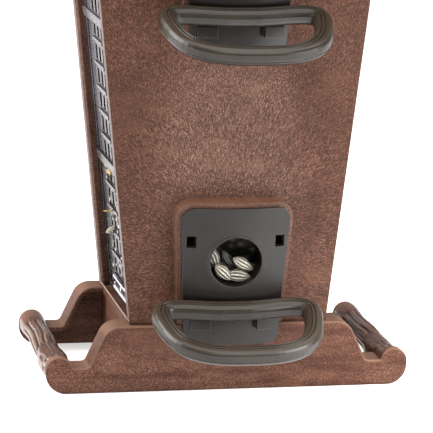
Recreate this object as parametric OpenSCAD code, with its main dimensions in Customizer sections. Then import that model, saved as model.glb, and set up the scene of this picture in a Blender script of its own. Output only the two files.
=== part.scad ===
// Hopper bird feeder: tapered seed hopper on a sled-shaped tray, two ring perches on each face,
// clear slotted side windows and a roof that lifts along a rigid wire bail.
// Millimetres. Origin at the middle of the foot, X along the tray, front faces -Y, Z up.

/* [Tray] */
// overall length of the tray, head to head
tray_l = 199; // [150:1:260]
// overall depth of the tray, front plate to back plate
tray_d = 109; // [90:1:150]
// height of the shoulder that carries the hopper
shoulder_z = 36; // [28:0.5:50]
// height of the low neck beside each head
neck_z = 13.6; // [10:0.1:20]
// radius of the round heads at the plate ends
head_r = 7.2; // [5:0.1:12]
// height of the middle of the heads
head_z = 12.9; // [11.5:0.1:17]
// radius of the lower end corners
end_r = 11; // [4:0.5:12.5]
// distance from the middle to the foot of each slope
foot_x = 76.3; // [60:0.1:90]
// angle of the slopes to level
slope_deg = 65; // [45:1:80]
// rounding where each slope meets the shoulder
shoulder_r = 10; // [4:0.5:14]
// thickness of the plate walls and flanges
plate_wall = 2.3; // [1.6:0.1:4]
// depth of the flange along each plate's top edge
flange_d = 17.5; // [14:0.5:20]
// thickness of the round heads
head_t = 5.2; // [4:0.1:7]

/* [End rails] */
// thickness of the carved end rails
rail_d = 12.8; // [11:0.1:14]
// number of flutes round a rail
rail_flutes = 7; // [4:1:10]

/* [Hopper] */
// width of the hopper at its foot
hopper_w = 108; // [80:1:140]
// how much each side leans out, per millimetre of height
hopper_lean = 0.1075; // [0:0.0005:0.15]
// height of the hopper panels
hopper_h = 251; // [180:1:320]
// how far the panels stand back from the tray's faces
hopper_set = 3.9; // [3:0.1:5]
// depth of a panel's edges
panel_t = 8.4; // [7.5:0.1:11]
// thickness of a panel's face
skin = 2.6; // [1.8:0.1:3]
// bevel along the inner corner of a panel's edges
edge_bevel = 1.4; // [0.6:0.1:2.4]

/* [Windows] */
// how far the windows sit back from the panel edges
window_recess = 4.8; // [3.6:0.1:6]
// thickness of a window
window_t = 2.4; // [1.6:0.1:4]
// height of one row of window slots
row_pitch = 13.4; // [12:0.1:20]
// width of a window slot
slot_w = 5.4; // [3:0.1:8]
// height of a window slot
slot_h = 8; // [5:0.1:8.5]
// spacing of the three slot columns
slot_pitch = 11.3; // [9:0.1:16]
// how far the rungs stand out of a window
rung_out = 1.2; // [0.6:0.1:2]

/* [Feeding ports] */
// bore of a feeding port
port_bore = 28; // [20:0.5:36]
// height of the middle of the lower ports
port_z = 72.8; // [66:0.1:90]
// spacing of the lower and upper ports
port_pitch = 157.5; // [120:0.5:180]
// width of the port plate at its bend
plate_w = 54; // [44:0.5:64]
// how much each plate edge leans out, per millimetre of height
plate_lean = 0.058; // [0:0.001:0.1]
// radius of the plate's bow across its width
plate_bow_r = 86; // [60:1:200]
// forward lean of the plate above its bend, in degrees
plate_tilt = 8; // [0:0.5:14]
// thickness of the port plate
plate_t = 2.8; // [2:0.1:3.5]
// width of a latch window
latch_w = 5.2; // [4:0.1:7]
// height of a latch window
latch_h = 6.4; // [4:0.1:9]

/* [Ring perches] */
// width of the ring at its back
ring_w = 100; // [80:0.5:130]
// reach of the ring from its back bar to its front
ring_reach = 51.6; // [35:0.1:80]
// share of its width that the ring loses towards its front
ring_taper = 0.25; // [0:0.01:0.5]
// downward slope of the ring, in degrees
ring_tilt = 20; // [0:1:35]
// thickness of the ring's bar
ring_bar = 10; // [7:0.1:13]
// squareness of the ring's front corners, 2 for an ellipse
ring_front_n = 2.75; // [2:0.05:6]
// squareness of the ring's back corners, 2 for an ellipse
ring_back_n = 3.4; // [2:0.05:6]

/* [Roof and bail] */
// length of the roof
roof_l = 196; // [170:1:260]
// depth of the roof
roof_d = 148; // [120:1:220]
// rise of the roof from eaves to ridge
roof_rise = 36; // [20:1:60]
// wall of the roof
roof_t = 2.6; // [2:0.1:4]
// height that the roof can be lifted
roof_travel = 75; // [40:1:100]
// thickness of the bail wire
wire_d = 3.6; // [2.5:0.1:5]
// how far the bail's legs stand in from the hopper's sides
bail_inset = 17.6; // [16:0.1:24]

/* [Hidden] */
$fn = 96;
gap = 0.3;
slip = 0.15;
hopper_z = shoulder_z + gap;
hopper_top = hopper_z + hopper_h;
plate_y = -tray_d / 2;
flange_y = plate_y + flange_d;
face_y = plate_y + hopper_set;
inner_y = face_y + panel_t;
head_x = tray_l / 2 - head_r;
slope_run = (shoulder_z - neck_z) / tan(slope_deg);
lean_deg = atan(hopper_lean);
function half_w(z) = hopper_w / 2 + hopper_lean * (z - hopper_z);
function unit(v) = v / norm(v);

// Turn of a path at a corner, positive to the left
function turn(p, i) =
    let (n = len(p), a = unit(p[i] - p[(i + n - 1) % n]), b = unit(p[(i + 1) % n] - p[i]))
    atan2(a[0] * b[1] - a[1] * b[0], a[0] * b[0] + a[1] * b[1]);

// Where a corner's rounding starts and ends, and its centre
function corner(p, r, i) =
    let (n = len(p), a = unit(p[i] - p[(i + n - 1) % n]), b = unit(p[(i + 1) % n] - p[i]),
        w = turn(p, i), t = r[i] * tan(abs(w) / 2), s = sign(w), from = p[i] - a * t)
    [from, p[i] + b * t, from + s * r[i] * [-a[1], a[0]], atan2(a[1], a[0]), w];

// Round of a corner, kept to the space between the rounding's ends and its centre
module corner_round(p, r, i) {
    c = corner(p, r, i);
    intersection() {
        translate(c[2]) circle(r[i]);
        polygon([c[0], p[i], c[1], c[2]]);
    }
}

// Polygon with true round corners, given anticlockwise
module round_poly(p, r) {
    difference() {
        union() {
            polygon([for (i = [0:len(p) - 1]) each
                (r[i] == 0 ? [p[i]] : [corner(p, r, i)[0], corner(p, r, i)[1]])]);
            for (i = [0:len(p) - 1])
                if (r[i] > 0 && turn(p, i) > 0) corner_round(p, r, i);
        }
        for (i = [0:len(p) - 1])
            if (r[i] > 0 && turn(p, i) < 0) corner_round(p, r, i);
    }
}

// Flat shape drawn in X and Z, made solid between two Y positions
module slab(y0, y1) {
    translate([0, y1, 0]) rotate([90, 0, 0]) linear_extrude(y1 - y0) children();
}

// Flat shape drawn in Y and Z, made solid along X
module bar_x(length) {
    rotate([90, 0, 90]) linear_extrude(length, center = true) children();
}

// Corners of a slope of a sled plate, drawn in by e: its foot and its shoulder
function slope_foot(e) = foot_x + e / tan(slope_deg) - e / sin(slope_deg);
function slope_top(e) = slope_foot(e) - slope_run;

// Outline of a sled plate, and of the hollow behind its face, which is open below and at both ends
foot_round = 3;
function sled_pts() =
    let (a = tray_l / 2, b = slope_foot(0), c = slope_top(0))
    [[-a, 0], [a, 0], [a, head_z], [head_x, neck_z], [b, neck_z],
     [c, shoulder_z], [-c, shoulder_z], [-b, neck_z], [-head_x, neck_z], [-a, head_z]];
function sled_radii() = [end_r, end_r, 0, 0, foot_round, shoulder_r, shoulder_r, foot_round, 0, 0];
function hollow_pts(e) =
    let (a = tray_l / 2 + 1, b = slope_foot(e), c = slope_top(e))
    [[-a, -1], [a, -1], [a, neck_z - e], [b, neck_z - e],
     [c, shoulder_z - e], [-c, shoulder_z - e], [-b, neck_z - e], [-a, neck_z - e]];
function hollow_radii(e) = [0, 0, 0, foot_round + e, shoulder_r - e, shoulder_r - e, foot_round + e, 0];

// Both heads of a sled plate
module heads(r) {
    for (s = [-1, 1]) translate([s * head_x, head_z]) circle(r);
}

rail_socket_r = head_r - plate_wall;
screw_x = hopper_w / 2 - 16;
screw_y = (face_y + inner_y) / 2 + 1.5;
screw_r = 1.7;
screw_boss_r = 4.2;

// Sled plate: face, flange along its top edge, round heads with a rail socket, and two screw holes
module sled_plate() {
    difference() {
        union() {
            slab(plate_y, flange_y) round_poly(sled_pts(), sled_radii());
            slab(plate_y, plate_y + head_t) heads(head_r);
        }
        slab(plate_y + plate_wall, flange_y + 1)
            difference() {
                round_poly(hollow_pts(plate_wall), hollow_radii(plate_wall));
                heads(head_r);
            }
        slab(plate_y + head_t, flange_y + 1) heads(head_r + slip);
        slab(plate_y + plate_wall, flange_y + 1) heads(rail_socket_r);
        for (s = [-1, 1]) translate([s * screw_x, screw_y, shoulder_z - plate_wall - 1])
            cylinder(h = plate_wall + 2, r = screw_r + 0.4);
    }
}

// Radius of an end rail along its length, from 0 at the back to 1 at the front: slow swellings and a knob
rail_len = tray_d - 2 * head_t - 2 * gap;
knob_at = 0.79;
knob_out = 0.55;
function rail_r(t) =
    let (k = (t - knob_at) / 0.045)
    rail_d / 2 - 0.25 + 0.3 * sin(720 * t + 40) + knob_out * exp(-k * k);

// Carved end rail: swelling stick with bark-like grooves, and a tenon at each end for the plates' sockets
module perch_rail() {
    steps = 40;
    groove_r = 1.35;
    groove_at = rail_d / 2 + groove_r - 0.75;
    translate([head_x, 0, head_z]) rotate([90, 0, 0]) {
        difference() {
            rotate_extrude() polygon(concat([[0, -rail_len / 2]],
                [for (k = [0:steps]) [rail_r(k / steps), rail_len * (k / steps - 0.5)]],
                [[0, rail_len / 2]]));
            for (k = [0:rail_flutes - 1]) rotate([0, 0, 360 * k / rail_flutes + 12]) {
                translate([groove_at, 0, rail_len * -0.118]) rotate([1.6 * sin(137 * k), 0, 0])
                    cylinder(h = rail_len * 0.67, r = groove_r, center = true);
                rotate([0, 0, 180 / rail_flutes]) translate([groove_at, 0, rail_len * 0.42])
                    rotate([-2, 0, 0]) cylinder(h = rail_len * 0.13, r = groove_r, center = true);
            }
        }
        cylinder(h = tray_d - 2 * plate_wall - 2 * gap, r = rail_socket_r - slip, center = true);
    }
}

// End wall under a window: upright wall, sill with a raised lip, and gussets
lip_x = hopper_w / 2;
wall_x = lip_x - 1.7;
ledge = 11;
sill_t = 2.4;
sill_up = 0.4;
lip_up = 1.6;
lip_t = 1.3;
lip_drop = 3;
wall_foot = 2;
drain_z = 8;
module end_wall() {
    difference() {
        union() {
            translate([wall_x - plate_wall, plate_y + plate_wall + slip, wall_foot])
                cube([plate_wall, tray_d - 2 * plate_wall - 2 * slip,
                    shoulder_z - plate_wall - wall_foot - slip]);
            translate([0, 0, shoulder_z]) {
                slab(flange_y + slip, -flange_y - slip)
                    round_poly([[wall_x - ledge, -sill_t], [wall_x - plate_wall, -sill_t],
                        [wall_x - plate_wall, -sill_t - 3], [wall_x, -sill_t - 3], [lip_x, -lip_drop],
                        [lip_x, lip_up], [lip_x - lip_t, lip_up], [lip_x - lip_t, sill_up],
                        [wall_x - ledge, sill_up]], [0, 0, 0, 0, 0.8, 0.5, 0.5, 0, 0]);
                slab(inner_y + slip, -inner_y - slip)
                    round_poly([[lip_x - lip_t, slip], [lip_x, slip], [lip_x, lip_up],
                        [lip_x - lip_t, lip_up]], [0, 0, 0.5, 0.5]);
            }
            for (s = [-1, 1]) translate([wall_x - ledge, s * tray_d / 5 - 1, shoulder_z - ledge])
                cube([ledge - 1, 2, ledge - 1]);
        }
        translate([wall_x - plate_wall - 1, -drain_z, drain_z]) cube([plate_wall + 2, 2 * drain_z, drain_z]);
    }
}

// Floor of the hopper: ridge that sheds seed to both faces, with drain slots along its low edges
floor_x = wall_x - plate_wall - 5.2;
floor_y = -screw_y - screw_boss_r - gap;
floor_t = 2.2;
ridge_h = 17;
slit_pitch = 8;
slit_w = 3;
module seed_floor() {
    low = shoulder_z + sill_up;
    ribs = [-floor_x * 2 / 3, 0, floor_x * 2 / 3];
    n = floor((floor_x - slit_w) / slit_pitch);
    difference() {
        union() {
            bar_x(2 * floor_x)
                polygon([[-floor_y, low], [-floor_y + 3, low], [0, low + ridge_h - floor_t],
                    [floor_y - 3, low], [floor_y, low], [floor_y, low + floor_t],
                    [0, low + ridge_h + sill_up], [-floor_y, low + floor_t]]);
            for (x = ribs) translate([x, 0, 0])
                bar_x(2) polygon([[-floor_y + 3, low], [floor_y - 3, low], [0, low + ridge_h - 2]]);
        }
        for (s = [-1, 1], k = [-n:n])
            if (min([for (x = ribs) abs(k * slit_pitch - x)]) > slit_w)
                translate([k * slit_pitch, s * (floor_y - 8), low]) cube([slit_w, 9, 14], center = true);
    }
}

// Outline of a hopper panel, drawn in at the sides, foot and top
module panel_shape(side, foot, top) {
    z0 = hopper_z + foot;
    z1 = hopper_top - top;
    polygon([[-half_w(z0) + side, z0], [half_w(z0) - side, z0],
        [half_w(z1) - side, z1], [-half_w(z1) + side, z1]]);
}

plate_mid_y = face_y - 11.8;
bend_z = port_z - 22.6;
plate_foot = port_z - 46.4;
plate_head = port_z + 29.5;
plate_top_r = 7.5;
plate_foot_r = 6;
function plate_half(z) = plate_w / 2 + plate_lean * (z - bend_z);

// Outline of a port plate grown by g, from foot height z0
module plate_shape(g, z0, top_r, foot_r) {
    z1 = plate_head + g;
    round_poly([[-plate_half(z0) - g, z0], [plate_half(z0) + g, z0], [plate_half(z1) + g, z1],
        [-plate_half(z1) - g, z1]], [foot_r, foot_r, top_r, top_r]);
}

// Space behind the bowed face of a port plate, set back by d; it leans forward above the bend and
// steps back a little below it
apron_step = 0.5;
bow_room = plate_w;
module behind_bow(d) {
    intersection() {
        translate([0, plate_mid_y + plate_bow_r, 0])
            cylinder(h = bend_z, r = plate_bow_r - apron_step - d, $fn = 240);
        translate([-bow_room, -2 * bow_room, 0]) cube([2 * bow_room, 2 * bow_room - 20, bend_z + 1]);
    }
    intersection() {
        translate([0, plate_mid_y, bend_z]) rotate([plate_tilt, 0, 0])
            translate([0, plate_bow_r, -bow_room]) cylinder(h = 3 * bow_room, r = plate_bow_r - d, $fn = 240);
        translate([-bow_room, -2 * bow_room, bend_z]) cube([2 * bow_room, 2 * bow_room - 20, 1.5 * bow_room]);
    }
}

// Moves its children onto the middle of the port, with Z along the bore towards the front
module at_bore() {
    rise = (port_z - bend_z) / cos(plate_tilt);
    translate([0, plate_mid_y, bend_z]) rotate([plate_tilt, 0, 0]) translate([0, 0, rise])
        rotate([90, 0, 0]) children();
}

// Round space along the bore, right through plate, tube and panel
module bore_space(r) {
    at_bore() translate([0, 0, -bow_room]) cylinder(h = 1.5 * bow_room, r = r);
}

peg_r = 3;
peg_x = 17;
peg_z = bend_z - 3.6;
peg_len = 16;
boss_grow = 2.5;
boss_wall = 2.3;
boss_foot = hopper_z + 0.6;
tube_wall = 2;
latch_x = 24;
latch_z = port_z + 10.9;

// Square latch windows on both sides of the bore
module latch_windows() {
    for (s = [-1, 1]) translate([s * latch_x, plate_mid_y - 5, latch_z])
        cube([latch_w, 40, latch_h], center = true);
}

// Holes for a ring perch's pegs, wider than the pegs by play
module peg_holes(play) {
    for (s = [-1, 1]) translate([s * peg_x, plate_mid_y + 6, peg_z]) rotate([90, 0, 0])
        cylinder(h = 40, r = peg_r + play, center = true);
}

// Raised brown boss that carries a port plate
module port_boss() {
    intersection() {
        slab(plate_mid_y - bow_room / 2, face_y + 1)
            plate_shape(boss_grow, boss_foot, plate_top_r + boss_grow, 0);
        behind_bow(plate_t);
    }
}

// Openings that a port needs in its panel: pocket, bore, latch windows and peg holes
module port_cuts() {
    intersection() {
        slab(plate_mid_y - bow_room / 2, face_y + skin + 1)
            plate_shape(boss_grow - boss_wall, boss_foot + skin, plate_top_r + boss_grow - boss_wall, 0);
        behind_bow(plate_t + boss_wall);
    }
    bore_space(port_bore / 2 + tube_wall + gap);
    latch_windows();
    peg_holes(slip);
}

post_z = hopper_top - 8;
rail_h = 10;
rail_z = post_z - rail_h / 2;
bail_x = half_w(rail_z) - bail_inset;
post_x = bail_x + 3;
post_r = 4.2;
screw_sink = 2;
screw_bite = 10;

// Bevel along the inner corners of a panel's edges
module edge_bevels() {
    side = edge_bevel * sqrt(2);
    for (s = [-1, 1]) translate([s * half_w(hopper_z), inner_y, hopper_z]) rotate([0, s * lean_deg, 0])
        rotate([0, 0, 45]) cube([side, side, 2.2 * hopper_h], center = true);
}

// Hopper panel: face, deep edges, window grooves, two port bosses and two screw posts
module panel() {
    fence = window_recess + window_t + 2 * slip;
    difference() {
        union() {
            difference() {
                slab(face_y, inner_y) panel_shape(0, 0, 0);
                slab(face_y + skin, inner_y + 1) panel_shape(window_recess, skin, skin);
                edge_bevels();
            }
            slab(face_y + skin - 0.1, inner_y)
                difference() {
                    panel_shape(fence, 0.5, 0.5);
                    panel_shape(fence + 2.2, -1, -1);
                }
            for (s = [-1, 1]) translate([s * post_x, 0, post_z]) rotate([90, 0, 0])
                translate([0, 0, -inner_y]) cylinder(h = panel_t - 1, r = post_r);
            for (s = [-1, 1]) translate([s * screw_x, screw_y, hopper_z])
                cylinder(h = 11, r = screw_boss_r);
            for (k = [0, 1]) translate([0, 0, k * port_pitch]) port_boss();
        }
        for (k = [0, 1]) translate([0, 0, k * port_pitch]) port_cuts();
        for (s = [-1, 1]) {
            translate([s * post_x, 0, post_z]) rotate([90, 0, 0])
                translate([0, 0, -inner_y - 1]) cylinder(h = panel_t + 2, r = screw_r + 0.25);
            translate([s * post_x, face_y, post_z]) rotate([90, 0, 0])
                translate([0, 0, -screw_sink]) cylinder(h = 3, r = 3.9);
            translate([s * screw_x, screw_y, hopper_z - 1]) cylinder(h = 10, r = screw_r + 0.05);
        }
    }
}

// Clear side window in its groove: rows of three slots with a rung under each row, every sixth rung
// a wide band, and a rim and a rib along each side
window_top = hopper_top - 3.2;
window_foot = shoulder_z + 0.7;
first_rung = 11.8;
rung_t = 1.8;
band_t = 5;
module side_window() {
    height = (window_top - window_foot) / cos(lean_deg);
    rows = floor((height - first_rung - slot_h - 4) / row_pitch);
    in_groove = panel_t - skin - 0.8;
    rung_l = 2 * slot_pitch + slot_w + 3;
    x0 = half_w(window_foot) - window_recess - slip - window_t;
    translate([x0, 0, window_foot]) rotate([0, lean_deg, 0])
        difference() {
            union() {
                translate([0, inner_y - in_groove, 2.6])
                    cube([window_t, -2 * inner_y + 2 * in_groove, height - 3]);
                translate([0, inner_y + gap, 0.3]) cube([window_t, -2 * inner_y - 2 * gap, 6]);
                for (k = [0:rows]) translate([window_t - 0.5, -rung_l / 2, first_rung + k * row_pitch])
                    cube([rung_out + 0.5, rung_l, rung_t]);
                for (k = [5:6:rows])
                    translate([window_t - 0.5, inner_y + gap, first_rung + k * row_pitch + rung_t - band_t])
                        cube([rung_out + 0.5, -2 * inner_y - 2 * gap, band_t]);
                for (s = [-1, 1], d = [1.2, 9]) translate([window_t - 0.5, s * (-inner_y - gap - d) - 0.6, 4])
                    cube([0.5 + rung_out / 2, 1.2, height - 8]);
            }
            for (k = [0:rows], c = [-1, 0, 1])
                translate([-1, c * slot_pitch - slot_w / 2, first_rung + k * row_pitch + rung_t + 1])
                    cube([window_t + 3, slot_w, slot_h - (k % 6 == 4 ? 2 : 0)]);
        }
}

// Tie rail across the hopper's mouth, with a hole for the bail
module top_rail() {
    in_x = bail_x - 5.5;
    clear_x = window_recess + window_t + slip + gap;
    difference() {
        slab(inner_y + slip, -inner_y - slip)
            round_poly([[in_x, rail_z], [half_w(rail_z) - clear_x, rail_z],
                [half_w(rail_z + rail_h) - clear_x, rail_z + rail_h], [in_x, rail_z + rail_h]], [2, 0, 0, 2]);
        translate([bail_x, 0, rail_z - 1]) cylinder(h = rail_h + 2, r = wire_d / 2 + 0.1);
        for (s = [-1, 1]) translate([post_x, s * -inner_y, post_z]) rotate([90, 0, 0])
            cylinder(h = 2 * screw_bite + 4, r = screw_r + 0.05, center = true);
    }
}

// Feeding port: bowed plate, tube with a hood, raised lip, latch windows and perch rests
tube_reach = 17;
rest_x = 12.7;
rest_w = 10.6;
rest_z = port_z - 37.4;
rest_h = 5.8;
rest_out = 3.6;
module port() {
    tube_r = port_bore / 2 + tube_wall;
    difference() {
        union() {
            intersection() {
                slab(plate_mid_y - bow_room / 2, plate_mid_y + bow_room / 2)
                    plate_shape(0, plate_foot, plate_top_r, plate_foot_r);
                difference() {
                    behind_bow(0);
                    behind_bow(plate_t);
                }
            }
            at_bore() {
                translate([0, 0, -tube_reach]) cylinder(h = tube_reach, r = tube_r);
                translate([0, 0, -1]) cylinder(h = 1.6, r = port_bore / 2 + 0.9);
                intersection() {
                    translate([0, 0, -tube_reach - 9]) cylinder(h = 12, r = tube_r);
                    translate([-port_bore, 2, -2 * port_bore])
                        cube([2 * port_bore, port_bore, 2 * port_bore]);
                }
            }
            for (s = [-1, 1]) intersection() {
                translate([s * (rest_x + rest_w / 2) - rest_w / 2, plate_mid_y - bow_room / 4, rest_z])
                    cube([rest_w, bow_room / 2, rest_h]);
                translate([0, plate_mid_y + plate_bow_r, 0]) difference() {
                    cylinder(h = bend_z, r = plate_bow_r + rest_out, $fn = 240);
                    cylinder(h = bend_z, r = plate_bow_r - 1, $fn = 240);
                }
            }
        }
        bore_space(port_bore / 2);
        latch_windows();
        peg_holes(slip / 2);
    }
}

// Centre line of the ring's bar seen square to its plane: a rounded loop that narrows to its front
// and follows the bowed port plate at its back
ring_steps = 56;
ring_bow_r = plate_bow_r + ring_bar;
function bulge(v, n) = sign(v) * pow(abs(v), 2 / n);
function ring_at(t) =
    let (half = (ring_w - ring_bar) / 2, len = ring_reach - ring_bar,
        n = t < 180 ? ring_front_n : ring_back_n, s = len / 2 * (1 + bulge(sin(t), n)),
        x = half * bulge(cos(t), n) * (1 - ring_taper * s / len),
        back = ring_bow_r - sqrt(ring_bow_r * ring_bow_r - x * x))
    [x, back * (1 - s / len) - s];

// Section of the ring's bar, outwards and up: soft square with two grooves on the inner half of its top
// and a fine seam ridge low on its outer face
function bar_pt(a, out = 0) = let (b = ring_bar / 2)
    [(b + out) * bulge(cos(a), 2.7), b * 0.93 * bulge(sin(a), 2.7)];
function groove(at, depth) = let (top = ring_bar / 2 * 0.93)
    [[at + 0.5, top], [at + 0.15, top - depth], [at - 0.15, top - depth], [at - 0.5, top]];
bar_section = concat([for (a = [0, 24, 38, 52, 66]) bar_pt(a)], groove(0.5, 0.6), groove(-1.6, 0.6),
    [for (a = [122:16:330]) bar_pt(a)], [bar_pt(342), bar_pt(346, 0.3), bar_pt(350)]);

// Bar swept round the ring
module ring_loop() {
    n = ring_steps;
    m = len(bar_section);
    at = [for (i = [0:n - 1]) ring_at((i + 0.5) * 360 / n)];
    out = [for (i = [0:n - 1]) let (d = unit(at[(i + 1) % n] - at[(i + n - 1) % n])) [d[1], -d[0]] * -1];
    polyhedron(
        [for (i = [0:n - 1], q = bar_section)
            [at[i][0] + out[i][0] * q[0], at[i][1] + out[i][1] * q[0], q[1]]],
        [for (i = [0:n - 1], j = [0:m - 1])
            let (k = (i + 1) % n, l = (j + 1) % m, a = i * m + j, b = i * m + l, c = k * m + l, d = k * m + j)
            each [[a, c, b], [a, d, c]]]);
}

// Ring perch: the loop seated on the bowed port plate, and two pegs that hold it
module perch() {
    seat = ring_bar * 0.525 + gap;
    translate([0, plate_mid_y - seat, peg_z]) rotate([ring_tilt, 0, 0]) ring_loop();
    for (s = [-1, 1]) translate([s * peg_x, plate_mid_y - seat + 1, peg_z]) rotate([-90, 0, 0])
        cylinder(h = peg_len, r = peg_r);
}

// Pan-head screw that points up the Z axis, head at the origin
module screw(length) {
    head_h = 1.9;
    translate([0, 0, -head_h]) difference() {
        cylinder(h = head_h, r = 2 * screw_r);
        for (a = [0, 90]) rotate([0, 0, a]) translate([-2, -0.4, -1]) cube([4, 0.8, 2]);
    }
    cylinder(h = length, r = screw_r);
}

// Screws up through the plate flanges into the panels
module tray_screws() {
    for (m = [0, 1], s = [-1, 1]) mirror([0, m, 0])
        translate([s * screw_x, screw_y, shoulder_z - plate_wall]) screw(10);
}

// Screws through the panel faces into the tie rails
module panel_screws() {
    for (m = [0, 1], s = [-1, 1]) mirror([0, m, 0])
        translate([s * post_x, face_y + screw_sink, post_z]) rotate([-90, 0, 0])
            screw(panel_t - screw_sink + screw_bite);
}

// Roof: gabled shell with closed ends, drip edge, bearing ribs and two holes on the ridge
eave_z = hopper_top - 5;
eave_h = 6;
seat_z = hopper_top + gap;
ridge_r = 14;
bushing_r = 4;
bushing_h = 16;
rib_t = 2.4;
function roof_z(y) = eave_z + eave_h + roof_rise * (1 - abs(y) / (roof_d / 2));
module roof_section(e) {
    y = roof_d / 2 - e;
    foot = eave_z - (e > 0 ? 1 : 0);
    side = eave_z + eave_h - e * 0.6;
    round_poly([[-y, foot], [y, foot], [y, side], [0, roof_z(0) - e * 1.12], [-y, side]],
        [0, 0, 2, ridge_r - e, 2]);
}
module roof() {
    plug_y = -inner_y - 1.2;
    seat_y = -face_y + 6;
    difference() {
        union() {
            difference() {
                bar_x(roof_l) roof_section(0);
                bar_x(roof_l - 2 * roof_t) roof_section(roof_t);
            }
            intersection() {
                for (x = [-0.75, -0.3, 0.3, 0.75]) translate([x * bail_x, 0, 0])
                    bar_x(rib_t) polygon([[-plug_y, hopper_top - 6], [plug_y, hopper_top - 6],
                        [plug_y, seat_z], [seat_y, seat_z], [0, roof_z(0) - 2], [-seat_y, seat_z],
                        [-plug_y, seat_z]]);
                bar_x(roof_l - 1) roof_section(roof_t / 2);
            }
            for (s = [-1, 1]) translate([s * bail_x, 0, roof_z(0) - bushing_h])
                cylinder(h = 12, r = bushing_r + 2.4);
        }
        for (s = [-1, 1]) translate([s * bail_x, 0, roof_z(0) - 30])
            cylinder(h = 40, r = bushing_r);
    }
}

// Bushings in the ridge that slide on the bail
module roof_bushings() {
    for (s = [-1, 1]) translate([s * bail_x, 0, roof_z(0)])
        difference() {
            union() {
                translate([0, 0, -bushing_h]) cylinder(h = bushing_h, r = bushing_r - 0.05);
                translate([0, 0, -0.4]) cylinder(h = 2, r = bushing_r + 2.5);
            }
            translate([0, 0, -20]) cylinder(h = 30, r = wire_d / 2 + gap);
        }
}

// Bend of the wire through an angle, from a start angle, round the origin
module bend(from, through, bend_r) {
    rotate([0, 0, from]) rotate_extrude(angle = through) translate([bend_r, 0]) circle(wire_d / 2, $fn = 32);
}

// Rigid wire bail with a hanging loop in the middle of its top
bail_bend_r = 22;
bail_loop_r = 8;
nut_t = 3;
bail_z0 = rail_z - nut_t - 4;
bail_z1 = roof_z(0) + roof_travel + 8;
module bail() {
    r = wire_d / 2;
    flat_z = bail_z1 + bail_bend_r;
    for (s = [-1, 1]) {
        translate([s * bail_x, 0, bail_z0]) cylinder(h = bail_z1 - bail_z0, r = r);
        translate([s * (bail_x - bail_bend_r), 0, bail_z1]) rotate([90, 0, 0])
            bend(s > 0 ? 0 : 90, 90, bail_bend_r);
        translate([s * 2 * bail_loop_r, 0, flat_z]) rotate([0, s * 90, 0])
            cylinder(h = bail_x - bail_bend_r - 2 * bail_loop_r, r = r);
        translate([s * 2 * bail_loop_r, 0, flat_z + bail_loop_r]) rotate([90, 0, 0])
            bend(s > 0 ? 180 : 270, 90, bail_loop_r);
    }
    translate([0, 0, flat_z + bail_loop_r]) rotate([90, 0, 0]) bend(0, 180, bail_loop_r);
}

// Push nuts that hold the bail under the tie rails
module bail_nuts() {
    for (s = [-1, 1]) translate([s * bail_x, 0, rail_z - nut_t])
        difference() {
            cylinder(h = nut_t, r = 5);
            translate([0, 0, -1]) cylinder(h = nut_t + 2, r = wire_d / 2);
        }
}

brown = [0.42, 0.28, 0.23];
dark = [0.24, 0.23, 0.21];
clear = [0.8, 0.85, 0.88, 0.5];
steel = [0.7, 0.7, 0.72];

module tray_front_plate() color(brown) sled_plate();
module tray_back_plate() color(brown) mirror([0, 1, 0]) sled_plate();
module right_perch_rail() color(brown) perch_rail();
module left_perch_rail() color(brown) mirror([1, 0, 0]) perch_rail();
module right_end_wall() color(brown) end_wall();
module left_end_wall() color(brown) mirror([1, 0, 0]) end_wall();
module front_panel() color(brown) panel();
module back_panel() color(brown) mirror([0, 1, 0]) panel();
module right_window() color(clear) side_window();
module left_window() color(clear) mirror([1, 0, 0]) side_window();
module right_top_rail() color(brown) top_rail();
module left_top_rail() color(brown) mirror([1, 0, 0]) top_rail();
module front_lower_port() color(dark) port();
module front_upper_port() color(dark) translate([0, 0, port_pitch]) port();
module back_lower_port() color(dark) mirror([0, 1, 0]) port();
module back_upper_port() color(dark) mirror([0, 1, 0]) translate([0, 0, port_pitch]) port();
module front_lower_perch() color(dark) perch();
module front_upper_perch() color(dark) translate([0, 0, port_pitch]) perch();
module back_lower_perch() color(dark) mirror([0, 1, 0]) perch();
module back_upper_perch() color(dark) mirror([0, 1, 0]) translate([0, 0, port_pitch]) perch();

tray_front_plate();
tray_back_plate();
left_perch_rail();
right_perch_rail();
left_end_wall();
right_end_wall();
color(brown) seed_floor();
front_panel();
back_panel();
left_window();
right_window();
left_top_rail();
right_top_rail();
front_lower_port();
front_upper_port();
back_lower_port();
back_upper_port();
front_lower_perch();
front_upper_perch();
back_lower_perch();
back_upper_perch();
color(steel) tray_screws();
color(steel) panel_screws();
color(brown) roof();
color(dark) roof_bushings();
color(steel) bail();
color(steel) bail_nuts();
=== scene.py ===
import math
import random

import bmesh
import bpy
from mathutils import Euler, Matrix, Vector, noise


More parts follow.
